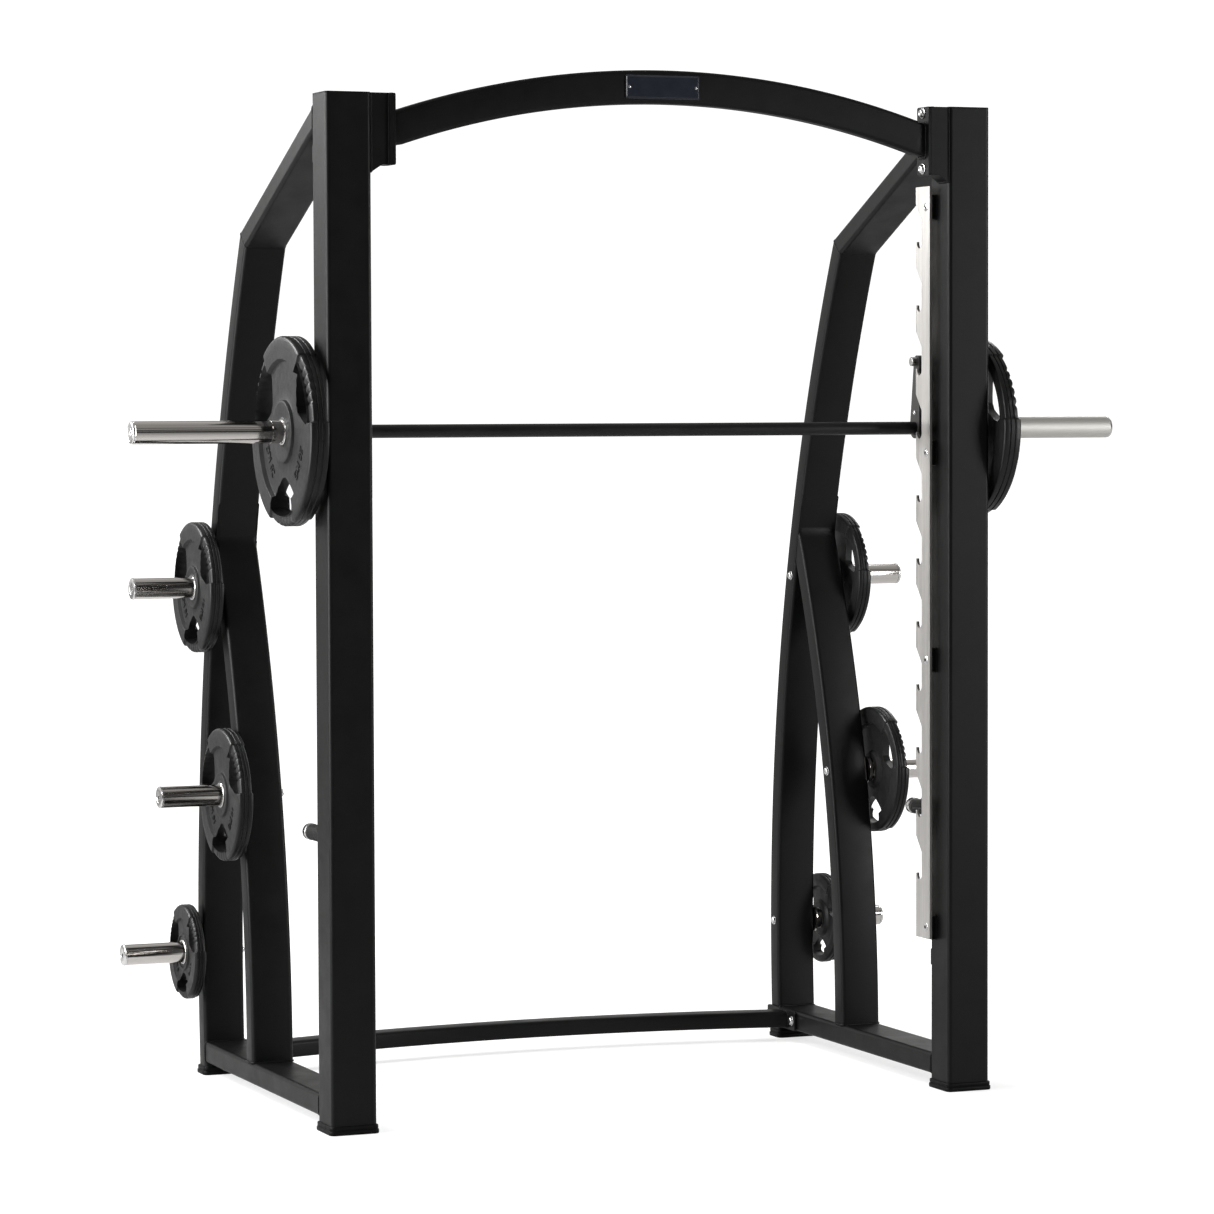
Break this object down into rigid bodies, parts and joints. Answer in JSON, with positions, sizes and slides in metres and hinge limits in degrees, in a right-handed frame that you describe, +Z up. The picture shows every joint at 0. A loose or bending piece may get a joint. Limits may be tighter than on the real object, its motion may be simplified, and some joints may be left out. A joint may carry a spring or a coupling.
{
  "type": "smith machine",
  "caption": "Guided-bar weight training frame: bowed steel side frames, notched rack plates, hook levers on a sliding bar, safety catches and plate storage pegs.",
  "frame": {"origin": "on the floor under the centre of the whole machine box", "axes": "+X to the right along the bar, +Y to the rear (the bowed cross tube is at +Y), +Z up"},
  "size_m": [2.392, 1.1306, 2.3239],
  "materials": {
    "frame_paint": "satin black powder coat",
    "rack_steel": "brushed along its length",
    "black_plastic": "moulded matte",
    "chrome": "bright",
    "badge": "smooth",
    "black_rubber": "matte",
    "pin_steel": "ground",
    "bar_black": "satin black",
    "dark_steel": "satin dark grey",
    "plate_black": "black rubber skin moulded over the iron core"
  },
  "bodies": {
    "frame": {"left_post": "frame_paint", "right_post": "frame_paint", "left_post_foot": "black_plastic", "right_post_foot": "black_plastic", "left_rear_upright": "frame_paint", "right_rear_upright": "frame_paint", "left_rear_foot": "black_plastic", "right_rear_foot": "black_plastic", "left_top_brace": "frame_paint", "right_top_brace": "frame_paint", "left_base_tube": "frame_paint", "right_base_tube": "frame_paint", "left_front_leg": "frame_paint", "right_front_leg": "frame_paint", "left_arch_bracket": "frame_paint", "right_arch_bracket": "frame_paint", "left_rack_plate": "rack_steel", "right_rack_plate": "rack_steel", "left_guide_rod": "chrome", "right_guide_rod": "chrome", "left_storage_pegs": "chrome", "right_storage_pegs": "chrome", "post_caps": "black_plastic", "top_arch": "frame_paint", "badge_plate": "badge", "arch_bolts": "chrome", "rear_cross_tube": "frame_paint", "cross_tube_bolts": "chrome", "rack_lugs": "frame_paint", "rack_screws": "chrome", "rod_top_holders": "frame_paint", "rod_bottom_holders": "frame_paint", "rod_bumpers": "black_rubber", "peg_end_caps": "chrome", "peg_bolts": "chrome"},
    "carriage": {"left_carriage": "frame_paint", "right_carriage": "frame_paint", "linear_bearings": "pin_steel", "bar_bearings": "pin_steel"},
    "bar": {"bar_shaft": "bar_black", "left_sleeve": "chrome", "right_sleeve": "chrome", "sleeve_end_caps": "chrome", "left_hook_lever": "dark_steel", "right_hook_lever": "dark_steel", "hook_pins": "pin_steel"},
    "left_catch_slide": {"left_catch_bush": "pin_steel"},
    "left_catch": {"left_safety_catch": "dark_steel", "left_catch_cover": "black_rubber"},
    "left_bar_weight": {"left_bar_plate": "plate_black"},
    "left_stored_weight_1": {"left_stored_plate_1": "plate_black"},
    "left_stored_weight_2": {"left_stored_plate_2": "plate_black"},
    "left_stored_weight_3": {"left_stored_plate_3": "plate_black"},
    "right_catch_slide": {"right_catch_bush": "pin_steel"},
    "right_catch": {"right_safety_catch": "dark_steel", "right_catch_cover": "black_rubber"},
    "right_bar_weight": {"right_bar_plate": "plate_black"},
    "right_stored_weight_1": {"right_stored_plate_1": "plate_black"},
    "right_stored_weight_2": {"right_stored_plate_2": "plate_black"},
    "right_stored_weight_3": {"right_stored_plate_3": "plate_black"}
  },
  "joints": [
    {"name": "bar_travel", "type": "slide", "parent": "frame", "child": "carriage", "axis": [0, 0, 1], "range_m": [-0.73, 0.292]},
    {"name": "bar_roll", "type": "hinge", "parent": "carriage", "child": "bar", "pos_m": [0, -0.3563, 1.5268], "axis": [1, 0, 0], "range_deg": [-45, 11.4]},
    {"name": "left_bar_weight_slide", "type": "slide", "parent": "bar", "child": "left_bar_weight", "axis": [-1, 0, 0], "range_m": [0, 0.33]},
    {"name": "left_catch_travel", "type": "slide", "parent": "frame", "child": "left_catch_slide", "axis": [0, 0, 1], "range_m": [-0.146, 0]},
    {"name": "left_catch_swing", "type": "hinge", "parent": "left_catch_slide", "child": "left_catch", "pos_m": [-0.7483, -0.3948, 0.636], "axis": [0, 0, -1], "range_deg": [0, 28]},
    {"name": "left_stored_weight_1_slide", "type": "slide", "parent": "frame", "child": "left_stored_weight_1", "axis": [-1, 0, 0], "range_m": [0, 0.14]},
    {"name": "left_stored_weight_2_slide", "type": "slide", "parent": "frame", "child": "left_stored_weight_2", "axis": [-1, 0, 0], "range_m": [0, 0.14]},
    {"name": "left_stored_weight_3_slide", "type": "slide", "parent": "frame", "child": "left_stored_weight_3", "axis": [-1, 0, 0], "range_m": [0, 0.14]},
    {"name": "right_bar_weight_slide", "type": "slide", "parent": "bar", "child": "right_bar_weight", "axis": [1, 0, 0], "range_m": [0, 0.33]},
    {"name": "right_catch_travel", "type": "slide", "parent": "frame", "child": "right_catch_slide", "axis": [0, 0, 1], "range_m": [-0.146, 0]},
    {"name": "right_catch_swing", "type": "hinge", "parent": "right_catch_slide", "child": "right_catch", "pos_m": [0.7483, -0.3948, 0.636], "axis": [0, 0, 1], "range_deg": [0, 28]},
    {"name": "right_stored_weight_1_slide", "type": "slide", "parent": "frame", "child": "right_stored_weight_1", "axis": [1, 0, 0], "range_m": [0, 0.14]},
    {"name": "right_stored_weight_2_slide", "type": "slide", "parent": "frame", "child": "right_stored_weight_2", "axis": [1, 0, 0], "range_m": [0, 0.14]},
    {"name": "right_stored_weight_3_slide", "type": "slide", "parent": "frame", "child": "right_stored_weight_3", "axis": [1, 0, 0], "range_m": [0, 0.14]}
  ]
}
